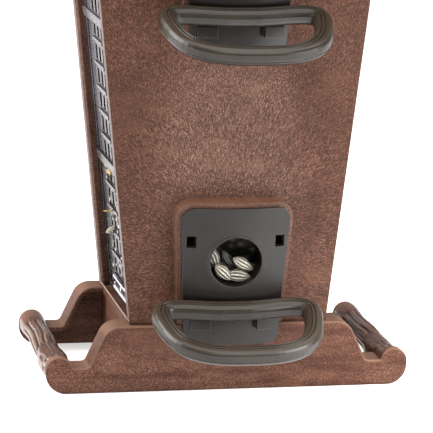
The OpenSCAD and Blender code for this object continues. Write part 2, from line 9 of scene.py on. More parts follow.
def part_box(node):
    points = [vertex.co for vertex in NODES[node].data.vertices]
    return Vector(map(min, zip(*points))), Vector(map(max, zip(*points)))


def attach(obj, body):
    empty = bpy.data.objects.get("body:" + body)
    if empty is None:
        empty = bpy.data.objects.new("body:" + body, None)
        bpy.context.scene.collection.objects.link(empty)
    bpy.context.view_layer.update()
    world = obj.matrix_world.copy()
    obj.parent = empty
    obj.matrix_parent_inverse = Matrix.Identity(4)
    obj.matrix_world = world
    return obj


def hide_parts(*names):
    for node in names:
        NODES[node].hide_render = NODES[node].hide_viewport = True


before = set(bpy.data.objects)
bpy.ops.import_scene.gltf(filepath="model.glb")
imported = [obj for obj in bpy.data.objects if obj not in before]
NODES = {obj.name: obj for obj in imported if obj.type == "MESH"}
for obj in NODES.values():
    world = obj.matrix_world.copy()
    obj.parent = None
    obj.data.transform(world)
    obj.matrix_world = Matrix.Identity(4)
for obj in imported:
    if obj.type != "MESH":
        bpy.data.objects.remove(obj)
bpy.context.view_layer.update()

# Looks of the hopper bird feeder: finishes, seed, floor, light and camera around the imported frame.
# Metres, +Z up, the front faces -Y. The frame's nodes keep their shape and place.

MM = 0.001

# Lowest and highest corners of nodes of the frame
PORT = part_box("front_lower_port")
SEED_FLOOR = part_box("seed_floor")
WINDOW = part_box("left_window")
TRAY_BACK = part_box("tray_back_plate")
END_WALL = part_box("right_end_wall")
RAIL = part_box("right_perch_rail")

# Middle of the front lower port's bore, and the lean of its plate
PORT_Z = PORT[0].z + 46.4 * MM
PORT_Y = -65.5 * MM
PORT_TILT = math.radians(8)

# Smoothing limit between the frame's faces, in degrees
CREASE = 32

# Light that the pale floor gives off by itself
FLOOR_GLOW = 0.5


def srgb(red, green, blue):
    """Linear colour of an 8-bit screen colour."""
    def linear(v):
        v = v / 255
        return v / 12.92 if v <= 0.04045 else ((v + 0.055) / 1.055) ** 2.4
    return (linear(red), linear(green), linear(blue), 1.0)


class Shader:
    """A material whose nodes are added one by one."""

    def __init__(self, name):
        self.material = bpy.data.materials.new(name)
        self.material.use_nodes = True
        self.tree = self.material.node_tree
        self.tree.nodes.clear()
        self.out = self.tree.nodes.new("ShaderNodeOutputMaterial")
        self.surface = self.tree.nodes.new("ShaderNodeBsdfPrincipled")
        self.tree.links.new(self.surface.outputs[0], self.out.inputs["Surface"])

    def put(self, socket, value):
        if isinstance(value, bpy.types.NodeSocket):
            self.tree.links.new(value, socket)
        else:
            socket.default_value = value

    def node(self, kind, inputs=None, **settings):
        made = self.tree.nodes.new("ShaderNode" + kind)
        for key, value in settings.items():
            setattr(made, key, value)
        for key, value in (inputs or {}).items():
            self.put(made.inputs[key], value)
        return made

    def math(self, operation, a, b=0.0, clamp=False):
        made = self.node("Math", {0: a, 1: b}, operation=operation, use_clamp=clamp)
        return made.outputs[0]

    def mix(self, factor, a, b, blend="MIX"):
        made = self.node("Mix", data_type="RGBA", blend_type=blend)
        for index, value in ((0, factor), (6, a), (7, b)):
            self.put(made.inputs[index], value)
        return made.outputs[2]

    def ramp(self, factor, stops):
        made = self.node("ValToRGB", {"Fac": factor})
        points = made.color_ramp.elements
        while len(points) < len(stops):
            points.new(0.5)
        for point, (place, colour) in zip(points, stops):
            point.position = place
            point.color = colour
        return made.outputs["Color"]

    def place_mm(self, stretch=(1, 1, 1)):
        """Position on the object in millimetres, stretched."""
        where = self.node("TexCoord").outputs["Object"]
        scale = tuple(1000 * s for s in stretch)
        return self.node("Mapping", {"Vector": where, "Scale": scale}).outputs[0]

    def noise(self, where, scale, detail=3.0, roughness=0.6):
        values = {"Vector": where, "Scale": scale, "Detail": detail, "Roughness": roughness}
        return self.node("TexNoise", values).outputs["Fac"]

    def rounded(self, radius_mm):
        return self.node("Bevel", {"Radius": radius_mm * MM}, samples=6).outputs[0]

    def edge_mask(self, radius_mm, gain):
        """About 1 on outer and inner edges, 0 on flat faces."""
        flat = self.node("NewGeometry").outputs["Normal"]
        dot = self.node("VectorMath", {0: self.rounded(radius_mm), 1: flat}, operation="DOT_PRODUCT")
        return self.math("MULTIPLY", self.math("SUBTRACT", 0.97, dot.outputs["Value"]), gain, clamp=True)

    def blend_by(self, value, low, high):
        """0 below low, 1 above high, smooth between."""
        made = self.node("MapRange", {"Value": value, "From Min": low, "From Max": high},
                         interpolation_type="SMOOTHSTEP")
        return made.outputs["Result"]

    def bump(self, height, strength, distance_mm, normal=None):
        values = {"Height": height, "Strength": strength, "Distance": distance_mm * MM}
        if normal is not None:
            values["Normal"] = normal
        self.put(self.surface.inputs["Normal"], self.node("Bump", values).outputs[0])

    def set(self, **values):
        for key, value in values.items():
            self.put(self.surface.inputs[key.replace("_", " ")], value)
        return self.material


def flow_fibre(shader):
    """Short fibres that fan out from the lower port, equally fine all over, and the mask of a pale middle
    that is partly a flow mark and partly painted reflection.
    """
    where = shader.node("SeparateXYZ", {0: shader.place_mm()})
    x = where.outputs[0]
    z = shader.math("SUBTRACT", where.outputs[2], PORT_Z / MM)
    angle = shader.math("ARCTAN2", x, z)
    reach = shader.math("SQRT", shader.math("ADD", shader.math("MULTIPLY", x, x),
                                            shader.math("MULTIPLY", z, z)))
    octave = shader.math("LOGARITHM", shader.math("DIVIDE", reach, 30.0), 2.0)
    zone = shader.math("FLOOR", shader.math("MULTIPLY", octave, 2.0))
    turns = shader.math("MULTIPLY", shader.math("POWER", 2.0, shader.math("MULTIPLY", zone, 0.5)), 95.0)
    place = shader.node("CombineXYZ", {0: shader.math("MULTIPLY", angle, turns),
                                       1: shader.math("MULTIPLY", reach, 0.45),
                                       2: shader.math("MULTIPLY", zone, 7.3)}).outputs[0]
    middle = shader.math("ABSOLUTE", shader.math("DIVIDE", x, 46.0))
    level = shader.math("ABSOLUTE", shader.math("DIVIDE", shader.math("SUBTRACT", z, 54.0), 78.0))
    away = shader.math("ADD", shader.math("MULTIPLY", middle, middle),
                       shader.math("MULTIPLY", level, level))
    pale = shader.math("SUBTRACT", 1.0, shader.blend_by(away, 0.0, 1.3))
    return shader.noise(place, 1.0, 2.0, 0.6), pale


def composite(name, fan, soft_mm, sheen=0.22, edge=(0.35, 1.8, 0.55), rolled_mm=0):
    """Speckled brown wood-filled plastic with flow grain, soft marbling, thin paler edges and painted
    light and shade.

    A fan's grain spreads from the lower port; edge is the radius, gain and share of the paler edges,
    partly wear and partly painted highlight; a rolled edge has a wider band of painted highlight over the
    top.
    """
    shader = Shader(name)
    place = shader.place_mm()
    fleck = shader.noise(place, 2.3 if fan else 2.8, 1.0, 0.5)
    facing = shader.node("SeparateXYZ", {0: shader.node("NewGeometry").outputs["Normal"]})
    top = shader.blend_by(facing.outputs[2], 0.3, 0.8)
    if fan:
        grain, pale = flow_fibre(shader)
        side = shader.blend_by(shader.math("ABSOLUTE", facing.outputs[0]), 0.6, 0.9)
        sheen = shader.math("ADD", shader.math("MULTIPLY", side, 0.45), sheen)
    else:
        grain = shader.noise(shader.place_mm((0.6, 1, 0.9)), 2.4, 2.0, 0.55)
        pale = shader.noise(place, 0.03, 2.0, 0.5)
    both = shader.math("ADD", shader.math("MULTIPLY", fleck, 0.45), shader.math("MULTIPLY", grain, 0.55))
    tone = shader.ramp(both, [(0.38, srgb(50, 27, 19)), (0.46, srgb(76, 46, 34)),
                              (0.54, srgb(100, 67, 52)), (0.63, srgb(142, 108, 90))])
    swirl = shader.noise(shader.place_mm((0.4, 1, 1)), 0.09, 3.0, 0.6)
    swirl = shader.math("MULTIPLY", shader.blend_by(swirl, 0.5, 0.66), 0.3)
    tone = shader.mix(swirl, tone, srgb(118, 84, 65))
    if not fan:
        streak = shader.noise(shader.place_mm((0.06, 1, 0.7)), 0.3, 3.0, 0.6)
        streak = shader.math("MULTIPLY", shader.blend_by(streak, 0.48, 0.64), 0.75)
        tone = shader.mix(streak, tone, (0.5, 0.38, 0.34, 1), "MULTIPLY")
        blotch = shader.noise(shader.place_mm((0.45, 1, 1)), 0.34, 3.0, 0.65)
        blotch = shader.math("MULTIPLY", shader.blend_by(blotch, 0.48, 0.62), 0.6)
        tone = shader.mix(blotch, tone, (0.62, 0.54, 0.5, 1), "MULTIPLY")
    patch = shader.blend_by(shader.noise(place, 0.024, 3.0, 0.6), 0.42, 0.62)
    tone = shader.mix(shader.math("MULTIPLY", patch, 0.55), tone, (0.62, 0.52, 0.46, 1), "MULTIPLY")
    if fan:
        # Painted reflection: the middle of a fan is lightened and greyed, partly as a flow mark and partly
        # as a painted sheen.
        tone = shader.mix(shader.math("MULTIPLY", pale, 0.45), tone, (1.04, 1.28, 1.58, 1), "MULTIPLY")
        # Painted light: faces that look up are lighter and more orange.
        tone = shader.mix(shader.math("MULTIPLY", top, 0.35), tone, srgb(138, 92, 64))
        # Painted shade: darker towards the sides and ends, away from the pale middle.
        rim = shader.math("SUBTRACT", 1.0, pale)
        tone = shader.mix(shader.math("MULTIPLY", rim, 0.8), tone, (0.55, 0.44, 0.36, 1), "MULTIPLY")
    else:
        tone = shader.mix(shader.math("MULTIPLY", pale, 0.5), tone, srgb(70, 44, 34))
    # Paler edges: partly wear, partly painted highlight.
    radius, gain, share = edge
    wear_and_highlight = shader.math("MULTIPLY", shader.edge_mask(radius, gain), share)
    tone = shader.mix(wear_and_highlight, tone, srgb(172, 142, 128))
    if rolled_mm:
        # Painted light: faces that look up are lighter.
        tone = shader.mix(shader.math("MULTIPLY", top, 0.4), tone, srgb(146, 112, 94))
        # Painted highlight: a wider pale band along rounded edges that face up.
        bend = shader.node("SeparateXYZ", {0: shader.rounded(rolled_mm)}).outputs[2]
        upper = shader.blend_by(bend, 0.15, 0.45)
        highlight_band = shader.math("MULTIPLY", shader.edge_mask(rolled_mm, 5.0), upper)
        tone = shader.mix(shader.math("MULTIPLY", highlight_band, 0.7), tone, srgb(166, 126, 104))
    shader.bump(both, 0.4, 0.1, shader.rounded(soft_mm))
    rough = shader.math("ADD", shader.math("MULTIPLY", fleck, 0.2), 0.42)
    return shader.set(Base_Color=tone, Roughness=rough, IOR=1.5, Specular_IOR_Level=sheen)


def glossy_rail(name):
    """Dark glossy brown moulding with bark-like streaks along its length, painted shade in its grooves and
    painted highlights on its ridges.
    """
    shader = Shader(name)
    streak = shader.noise(shader.place_mm((1, 0.12, 1)), 0.7, 3.0, 0.6)
    tone = shader.ramp(streak, [(0.36, srgb(58, 32, 21)), (0.52, srgb(78, 47, 34)),
                                (0.68, srgb(98, 64, 48))])
    crest = shader.node("NewGeometry").outputs["Pointiness"]
    # Painted shade in the grooves, where the surface is hollow.
    groove = shader.math("MULTIPLY", shader.blend_by(crest, 0.5, 0.46), 0.7)
    tone = shader.mix(groove, tone, srgb(30, 14, 9))
    # Painted highlight on the ridges, where the surface is sharp.
    ridge_highlight = shader.math("MULTIPLY", shader.blend_by(crest, 0.51, 0.54), 0.65)
    tone = shader.mix(ridge_highlight, tone, srgb(166, 138, 124))
    along = shader.node("SeparateXYZ", {0: shader.place_mm()}).outputs[1]
    end = shader.blend_by(shader.math("ABSOLUTE", along), 36.0, 44.0)
    tone = shader.mix(end, tone, srgb(102, 68, 52))
    fine = shader.noise(shader.place_mm((1, 0.3, 1)), 1.2, 2.0, 0.5)
    shader.bump(fine, 0.25, 0.1, shader.rounded(0.35))
    rough = shader.math("ADD", shader.math("MULTIPLY", streak, 0.16), 0.2)
    return shader.set(Base_Color=tone, Roughness=rough, IOR=1.5, Specular_IOR_Level=0.3)


def bead_highlight_finish(name):
    """Pale line of brown plastic: its paleness is a painted highlight along a rounded bead, uneven along
    its length.
    """
    shader = Shader(name)
    unevenness = shader.noise(shader.place_mm(), 0.6, 3.0, 0.6)
    tone = shader.ramp(unevenness, [(0.35, srgb(112, 84, 68)), (0.6, srgb(164, 134, 118))])
    shader.bump(unevenness, 0.2, 0.05)
    rough = shader.math("ADD", shader.math("MULTIPLY", unevenness, 0.2), 0.2)
    return shader.set(Base_Color=tone, Roughness=rough, IOR=1.5, Specular_IOR_Level=0.5)


def dark_moulding(name, tones, line, rough, sheen, soft_mm, edge_mm):
    """Satin dark plastic, faintly cloudy, paler on top and at its edges as painted light, with a fine
    moulded skin.

    The tones are its two clouds and its painted top light, and line is the colour of its painted edge
    highlights.
    """
    shader = Shader(name)
    cloud = shader.noise(shader.place_mm(), 0.06, 3.0, 0.55)
    tone = shader.ramp(cloud, [(0.3, tones[0]), (0.7, tones[1])])
    facing = shader.node("SeparateXYZ", {0: shader.node("NewGeometry").outputs["Normal"]}).outputs[2]
    # Painted light: faces that look up take the paler top tone.
    tone = shader.mix(shader.math("MULTIPLY", shader.blend_by(facing, 0.2, 0.95), 0.45), tone, tones[2])
    # Painted shade: faces that look down are darkened.
    underside_shade = shader.blend_by(facing, 0.1, -0.6)
    tone = shader.mix(shader.math("MULTIPLY", underside_shade, 0.8), tone, (0.35, 0.33, 0.3, 1), "MULTIPLY")
    # Painted highlight: paler lines along the edges.
    tone = shader.mix(shader.math("MULTIPLY", shader.edge_mask(edge_mm, 3.0), 0.6), tone, line)
    skin = shader.noise(shader.place_mm(), 1.6, 3.0, 0.6)
    shader.bump(skin, 0.03, 0.04, shader.rounded(soft_mm))
    gloss = shader.math("ADD", shader.math("MULTIPLY", skin, 0.1), rough)
    return shader.set(Base_Color=tone, Roughness=gloss, IOR=1.5, Specular_IOR_Level=sheen)


def clear_plastic(name, low, high, dimmed):
    """Hazy moulded plastic, faintly clouded, with painted shade on its slot walls, ledges and lower part
    where it is dimmed, and dust low down.
    """
    shader = Shader(name)
    cloud = shader.noise(shader.place_mm(), 0.12, 3.0, 0.6)
    ripple = shader.noise(shader.place_mm(), 0.5, 2.0, 0.5)
    rough = shader.math("ADD", shader.math("MULTIPLY", cloud, 0.14), 0.1)
    tone = shader.ramp(cloud, [(0.3, low), (0.7, high)])
    if dimmed:
        facing = shader.node("SeparateXYZ", {0: shader.node("NewGeometry").outputs["Normal"]})
        # Painted shade: slot walls darkened as the slots' shaded sides.
        slot_shade = shader.blend_by(shader.math("ABSOLUTE", facing.outputs[1]), 0.5, 0.9)
        tone = shader.mix(slot_shade, tone, srgb(52, 46, 48))
        # Painted shade: ledges that face up are darkened.
        ledge_shade = shader.blend_by(facing.outputs[2], 0.4, 0.9)
        tone = shader.mix(ledge_shade, tone, srgb(92, 87, 91))
        height = shader.node("SeparateXYZ", {0: shader.place_mm()}).outputs[2]
        # Painted shade low down, where the seed lies dark behind the plastic; its blotches are partly dust
        # and partly painted shade.
        dust_and_shade = shader.blend_by(shader.noise(shader.place_mm((1, 1, 0.7)), 0.42, 2.0, 0.6), 0.44, 0.54)
        low_down = shader.blend_by(height, 152.0, 110.0)
        tone = shader.mix(shader.math("MULTIPLY", low_down, 0.6), tone, (0.45, 0.43, 0.42, 1), "MULTIPLY")
        tone = shader.mix(shader.math("MULTIPLY", dust_and_shade, low_down), tone, srgb(46, 41, 38))
    shader.bump(ripple, 0.45, 0.3, shader.rounded(0.4))
    return shader.set(Base_Color=tone, Roughness=rough, IOR=1.15, Specular_IOR_Level=0.3,
                      Transmission_Weight=0.45 if dimmed else 0.3)


def drawn_steel(name):
    """Drawn steel wire and plated screws, faintly streaked."""
    shader = Shader(name)
    streak = shader.noise(shader.place_mm((1, 1, 0.1)), 1.2, 3.0, 0.6)
    tone = shader.ramp(streak, [(0.3, srgb(150, 150, 152)), (0.7, srgb(196, 197, 200))])
    rough = shader.math("ADD", shader.math("MULTIPLY", streak, 0.2), 0.2)
    shader.bump(streak, 0.15, 0.05, shader.rounded(0.3))
    return shader.set(Base_Color=tone, Roughness=rough, Metallic=1.0)


def seed_skin(name):
    """Striped sunflower seed: pale hull with dark lengthwise stripes, some seeds darker than others."""
    shader = Shader(name)
    turn = shader.node("UVMap", uv_map="stripe")
    parts = shader.node("SeparateXYZ", {0: turn.outputs[0]})
    wobble = shader.math("MULTIPLY", shader.noise(turn.outputs[0], 3.0, 2.0, 0.5), 3.5)
    phase = shader.math("ADD", shader.math("MULTIPLY", parts.outputs[0], 62.8), wobble)
    wave = shader.math("ADD", shader.math("MULTIPLY", shader.math("SINE", phase), 0.5), 0.5)
    shade = shader.math("MULTIPLY", shader.math("FLOOR", parts.outputs[1]), 0.12)
    speck = shader.noise(shader.place_mm(), 1.6, 3.0, 0.7)
    hull = shader.ramp(speck, [(0.35, srgb(138, 130, 112)), (0.65, srgb(210, 204, 188))])
    hull = shader.mix(shade, hull, srgb(52, 46, 40))
    stripe = shader.blend_by(shader.math("SUBTRACT", wave, shade), 0.36, 0.58)
    tone = shader.mix(stripe, srgb(30, 26, 23), hull)
    shader.bump(wave, 0.3, 0.15)
    return shader.set(Base_Color=tone, Roughness=0.42, IOR=1.45)


def core_skin(name):
    """Seed seen deep in the heap, with painted shade between the hulls."""
    shader = Shader(name)
    where = shader.place_mm((1, 1, 1.4))
    lump = shader.node("TexVoronoi", {"Vector": where, "Scale": 0.22}).outputs["Distance"]
    # Painted shade: lumps pale in their middles and dark between them.
    tone = shader.ramp(lump, [(0.1, srgb(120, 110, 92)), (0.5, srgb(30, 26, 23))])
    shader.bump(lump, 0.8, 2.0)
    return shader.set(Base_Color=tone, Roughness=0.6)


def husk_skin(name):
    """Pale straw-coloured husk and kernel bits."""
    shader = Shader(name)
    fibre = shader.noise(shader.place_mm(), 1.4, 3.0, 0.6)
    tone = shader.ramp(fibre, [(0.38, srgb(128, 88, 38)), (0.6, srgb(206, 180, 118))])
    shader.bump(fibre, 0.3, 0.1)
    return shader.set(Base_Color=tone, Roughness=0.5)


def shard_skin(name):
    """Broken hull, from nearly white to dark."""
    shader = Shader(name)
    shade = shader.noise(shader.place_mm(), 0.3, 1.0, 0.5)
    tone = shader.ramp(shade, [(0.4, srgb(44, 40, 36)), (0.5, srgb(150, 145, 136)),
                               (0.58, srgb(228, 225, 216))])
    shader.bump(shader.noise(shader.place_mm(), 1.8, 2.0, 0.5), 0.3, 0.1)
    return shader.set(Base_Color=tone, Roughness=0.4)


def floor_finish(name):
    """Plain pale floor."""
    shader = Shader(name)
    tone = shader.ramp(shader.noise(shader.place_mm(), 0.004, 2.0, 0.5),
                       [(0.3, (0.9, 0.9, 0.9, 1)), (0.7, (0.93, 0.93, 0.93, 1))])
    return shader.set(Base_Color=tone, Roughness=0.9, Emission_Color=(1, 1, 1, 1),
                      Emission_Strength=FLOOR_GLOW)


def dress_frame():
    """Gives each node of the frame its finish, with smooth curves and crisp edges."""
    brown_fan = composite("brown_composite_fan", True, 1.0, 0.2)
    brown_plain = composite("brown_composite_plain", False, 1.5)
    brown_plate = composite("brown_composite_plate", False, 3.0, 0.14, (0.45, 2.6, 0.75), 2.4)
    brown_wall = composite("brown_composite_wall", False, 0.5, 0.14, (0.5, 2.0, 0.4))
    # The third tone of each is the painted top light, and the line colour is the painted edge highlight.
    port_tones = (srgb(17, 12, 9), srgb(26, 20, 17), srgb(40, 36, 33))
    port = dark_moulding("port_charcoal", port_tones, srgb(132, 129, 128), 0.28, 0.3, 0.5, 0.4)
    ring_tones = (srgb(32, 25, 18), srgb(45, 37, 28), srgb(70, 61, 50))
    ring = dark_moulding("ring_olive", ring_tones, srgb(130, 121, 106), 0.24, 0.36, 0.15, 0.2)
    window = clear_plastic("window_clear", srgb(88, 84, 88), srgb(118, 113, 119), True)
    finish = {"panel": brown_fan, "plate": brown_plate, "wall": brown_wall, "seed_floor": brown_plain,
              "top_rail": brown_plain, "perch_rail": brown_plain, "port": port, "perch": ring,
              "bushings": port, "window": window, "roof": brown_plain, "screws": drawn_steel("steel"),
              "bail": drawn_steel("steel_wire"), "nuts": drawn_steel("steel_nut")}
    for name, part in NODES.items():
        key = max((k for k in finish if k in name), key=lambda k: (name.endswith(k), len(k)))
        part.data.materials.clear()
        part.data.materials.append(finish[key])
        part.data.polygons.foreach_set("use_smooth", [True] * len(part.data.polygons))
        with bpy.context.temp_override(active_object=part, object=part, selected_objects=[part]):
            bpy.ops.object.shade_auto_smooth(angle=math.radians(CREASE))


def add_piece(name, mesh, material, body):
    """A piece of the visual model, riding on a body of the frame."""
    piece = bpy.data.objects.new(name, mesh)
    bpy.context.scene.collection.objects.link(piece)
    mesh.materials.append(material)
    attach(piece, body)
    return piece


def skin_rows(bm, rows):
    """Closed smooth skin over rows of points, each row a ring around the piece."""
    for low, high in zip(rows, rows[1:]):
        for j in range(len(low)):
            k = (j + 1) % len(low)
            bm.faces.new((low[j], high[j], high[k], low[k])).smooth = True
    bm.faces.new(rows[0])
    bm.faces.new(rows[-1][::-1])


def finished_mesh(bm, name):
    """Mesh made of what was built, with its faces turned outwards."""
    bmesh.ops.recalc_face_normals(bm, faces=bm.faces)
    mesh = bpy.data.meshes.new(name)
    bm.to_mesh(mesh)
    bm.free()
    return mesh


# Carved rails: their middle, the thickness of the heads that they end in, and their fineness
RAIL_CENTRE = (RAIL[0] + RAIL[1]) / 2
HEAD_T = 5.2 * MM
RAIL_STEPS = 150
RAIL_SIDES = 96
RAIL_GROOVES = 9

# Swellings of a rail, from 0 at its back to 1 at its front: height in millimetres, middle and width
RAIL_CORE_R = 6.3
RAIL_SWELLS = ((0.85, 0.0, 0.1), (-0.2, 0.26, 0.09), (0.3, 0.5, 0.1), (0.8, 0.76, 0.11), (0.6, 1.0, 0.12))

# Swelling on the inner side of a rail near its front, and the sag of the rail there
RAIL_BULGE = 1.9
RAIL_SAG = 2.2

# Where a rail's bark is grooved, and where it flakes in steps instead
BACK_GROOVES = (0.13, 0.66)
FRONT_GROOVES = (0.87, 0.985)
FLAKES = (0.6, 0.9)


def bell(t, middle, width):
    """Smooth hump of height 1."""
    return math.exp(-((t - middle) / width) ** 2)


def between(t, low, high, soft):
    """About 1 from low to high, 0 outside, with soft ends."""
    rise = min(1.0, max(0.0, (t - low) / soft))
    fall = min(1.0, max(0.0, (high - t) / soft))
    return rise * rise * (3 - 2 * rise) * fall * fall * (3 - 2 * fall)


def rail_radius(t, angle):
    """Radius of a carved rail: flared at the back head, grooved like bark, with a knob near the front."""
    body = RAIL_CORE_R + sum(high * bell(t, middle, width) for high, middle, width in RAIL_SWELLS)
    body += RAIL_BULGE * max(0.0, -math.cos(angle)) ** 1.5 * bell(t, 0.8, 0.15)
    wander = 0.24 * noise.noise(Vector((0, 3.1, t * 4.2))) + 0.1 * noise.noise(Vector((angle, 0, t * 7)))
    wave = (0.5 + 0.5 * math.cos(RAIL_GROOVES * (angle + wander))) ** 2.4
    groove = 1.05 * between(t, *BACK_GROOVES, 0.06) + 0.7 * between(t, *FRONT_GROOVES, 0.03)
    flaked = between(t, *FLAKES, 0.06)
    place = Vector((math.cos(angle) * 1.3, math.sin(angle) * 1.3, t * 5))
    flake = noise.noise(place) * flaked
    step = 0.5 * (1 if flake > 0.08 else max(0.0, (flake + 0.04) / 0.12))
    fine = 0.1 * noise.noise(Vector((math.cos(angle) * 5, math.sin(angle) * 5, t * 7)))
    return (body - groove * wave + step - 0.25 * flaked + fine) * MM


def rail_mesh(side):
    """Carved rail between the heads of the two tray plates, with its ends inside them."""
    bm = bmesh.new()
    half = (TRAY_BACK[1].y - HEAD_T) + 0.4 * MM
    rows = []
    for i in range(RAIL_STEPS + 1):
        t = i / RAIL_STEPS
        drop = (RAIL_SAG * bell(t, 0.8, 0.22) - 0.1) * MM
        row = []
        for j in range(RAIL_SIDES):
            angle = 2 * math.pi * j / RAIL_SIDES
            reach = rail_radius(t, angle)
            x = min(RAIL_CENTRE.x + math.cos(angle) * reach, TRAY_BACK[1].x - 0.1 * MM)
            z = RAIL_CENTRE.z - drop + math.sin(angle) * reach
            row.append(bm.verts.new((side * x, half - 2 * half * t, z)))
        rows.append(row)
    skin_rows(bm, rows)
    return finished_mesh(bm, "carved_rail")


def carve_rails():
    """Carved rails in the place of the frame's plainer ones."""
    skin = glossy_rail("brown_gloss")
    for name, side in (("left", -1), ("right", 1)):
        piece = add_piece(f"{name}_carved_rail", rail_mesh(side), skin, "feeder")
        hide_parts(f"{name}_perch_rail")


# One seed: its fineness, the shades drawn from, and its least and greatest sizes in millimetres
SEED_RINGS = 9
SEED_SIDES = 12
SEED_SHADES = (0, 0, 1, 2, 4)
SEED_LENGTH = (12, 14.2)
SEED_WIDTH = (6.2, 7.2)
SEED_THICK = (3.8, 4.6)


def seed_form(dice, shade):
    """Points and stripe coordinates of one seed along X, with its blunt end at the back."""
    length = dice.uniform(*SEED_LENGTH) * MM
    width = dice.uniform(*SEED_WIDTH) * MM
    thick = dice.uniform(*SEED_THICK) * MM
    shift = dice.random()
    drawn = dice.choice(SEED_SHADES)
    shade = drawn if shade is None else shade
    rings = []
    for i in range(SEED_RINGS + 1):
        t = i / SEED_RINGS
        bulge = math.sin(math.pi * min(1.0, t * 0.97 + 0.015)) ** 0.66 * (1.08 - 0.3 * t)
        ring = []
        for j in range(SEED_SIDES):
            a = 2 * math.pi * j / SEED_SIDES
            y = math.cos(a) * width / 2 * bulge
            z = math.sin(a) * thick / 2 * bulge
            point = Vector(((t - 0.45) * length, y, z))
            ring.append((point, j / SEED_SIDES + shift, t * 0.9 + shade + 0.05))
        rings.append(ring)
    return rings


def add_seed(bm, stripe, dice, matrix, shade):
    """Adds one seed to a mesh that is being built."""
    rings = seed_form(dice, shade)
    points = [[bm.verts.new(matrix @ point) for point, _, _ in ring] for ring in rings]
    step = 1 / SEED_SIDES
    for i in range(SEED_RINGS):
        for j in range(SEED_SIDES):
            k = (j + 1) % SEED_SIDES
            face = bm.faces.new((points[i][j], points[i + 1][j], points[i + 1][k], points[i][k]))
            face.smooth = True
            u = rings[i][j][1]
            low, high = rings[i][j][2], rings[i + 1][j][2]
            for loop, uv in zip(face.loops, ((u, low), (u, high), (u + step, high), (u + step, low))):
                loop[stripe].uv = uv
    for ring in (points[0][::-1], points[-1]):
        face = bm.faces.new(ring)
        face.smooth = True


def seed_mesh(name, dice, places, shades=None):
    """One mesh of many seeds, each at its place matrix, and with its own shade where that is given."""
    bm = bmesh.new()
    stripe = bm.loops.layers.uv.new("stripe")
    for matrix, shade in zip(places, shades or [None] * len(places)):
        add_seed(bm, stripe, dice, matrix, shade)
    return finished_mesh(bm, name)


# Heap of seed: its top and foot, and the hopper's inside around it
SEED_TOP = 119 * MM
SEED_FOOT = SEED_FLOOR[0].z + 5 * MM
WINDOW_FOOT_X = 46.6 * MM
WINDOW_LEAN = 0.1075
WINDOW_T = 2.4 * MM
FACE_Y = 47.6 * MM


def inner_x(z):
    """Inner face of a window at height z."""
    return WINDOW_FOOT_X + WINDOW_LEAN * (z - WINDOW[0].z)


def outer_x(z):
    """Outer face of a window at height z."""
    return inner_x(z) + WINDOW_T


def wall_places(dice, side, layer):
    """Places of the seed that lies flat against a window, in one of two layers."""
    places = []
    z = SEED_FOOT
    while z < SEED_TOP - 3 * MM:
        y = -FACE_Y + 4 * MM + dice.uniform(0, 5) * MM
        while y < FACE_Y - 4 * MM:
            x = side * (inner_x(z) - (2.9 + 3.6 * layer + dice.uniform(0, 0.8)) * MM)
            roll = Matrix.Rotation(side * math.pi / 2 + dice.gauss(0, 0.16), 4, "Y")
            turn = Matrix.Rotation(dice.gauss(0, 0.16), 4, "Z")
            spin = Matrix.Rotation(dice.uniform(0, 6.28), 4, "X")
            places.append(Matrix.Translation((x, y, z)) @ turn @ spin @ roll)
            y += dice.uniform(7.2, 9.5) * MM
        z += dice.uniform(5.6, 6.8) * MM
    return places


def heap_places(dice):
    """Places of the seed that lies against both windows and on top of the heap."""
    places = []
    for side in (-1, 1):
        for layer in (0, 1):
            places += wall_places(dice, side, layer)
    step = 7.6 * MM
    wide = int((inner_x(SEED_TOP) - 5 * MM) / step)
    deep = int((FACE_Y - 5 * MM) / step)
    for i in range(-wide, wide + 1):
        for j in range(-deep, deep + 1):
            spot = Vector((i + dice.uniform(-0.4, 0.4), j + dice.uniform(-0.4, 0.4), 0)) * step
            spot.z = SEED_TOP - 4 * MM + 2 * MM * math.cos(spot.x / 0.03) + dice.uniform(-2, 2) * MM
            turn = Euler((dice.gauss(0, 0.35), dice.gauss(0, 0.35), dice.uniform(0, 6.28)))
            places.append(Matrix.Translation(spot) @ turn.to_matrix().to_4x4())
    return places


def heap_core(material):
    """Inner part of the heap behind its outer seeds, dark as painted shade."""
    top = SEED_TOP - 6 * MM
    foot = SEED_FLOOR[1].z - 12 * MM
    deep = 43 * MM
    wide_foot = inner_x(foot) - 7 * MM
    wide_top = inner_x(top) - 7 * MM
    columns, rows = 14, 12
    bm = bmesh.new()
    grid = []
    for level, wide, z in ((0, wide_foot, foot), (1, wide_top, top)):
        grid.append([[bm.verts.new((wide * (2 * i / columns - 1), deep * (2 * j / rows - 1),
                                    z + level * 1.5 * MM * math.sin(i * 2.1) * math.cos(j * 1.7)))
                      for j in range(rows + 1)] for i in range(columns + 1)])
    for level in (0, 1):
        for i in range(columns):
            for j in range(rows):
                near, far = grid[level][i], grid[level][i + 1]
                ring = [near[j], far[j], far[j + 1], near[j + 1]]
                bm.faces.new(ring if level else ring[::-1])
    edge = [(i, 0) for i in range(columns)] + [(columns, j) for j in range(rows)]
    edge += [(i, rows) for i in range(columns, 0, -1)] + [(0, j) for j in range(rows, 0, -1)]
    for (a, b), (c, d) in zip(edge, edge[1:] + edge[:1]):
        bm.faces.new((grid[0][a][b], grid[0][c][d], grid[1][c][d], grid[1][a][b]))
    add_piece("seed_core", finished_mesh(bm, "seed_core"), material, "feeder")


def bore_matrix(face):
    """Frame of a lower port's bore: X to the viewer's right, Y inwards, Z up the tilted plate."""
    tilt = Matrix.Translation((0, PORT_Y, PORT_Z)) @ Matrix.Rotation(PORT_TILT, 4, "X")
    return tilt if face == "front" else Matrix.Rotation(math.pi, 4, "Z") @ tilt


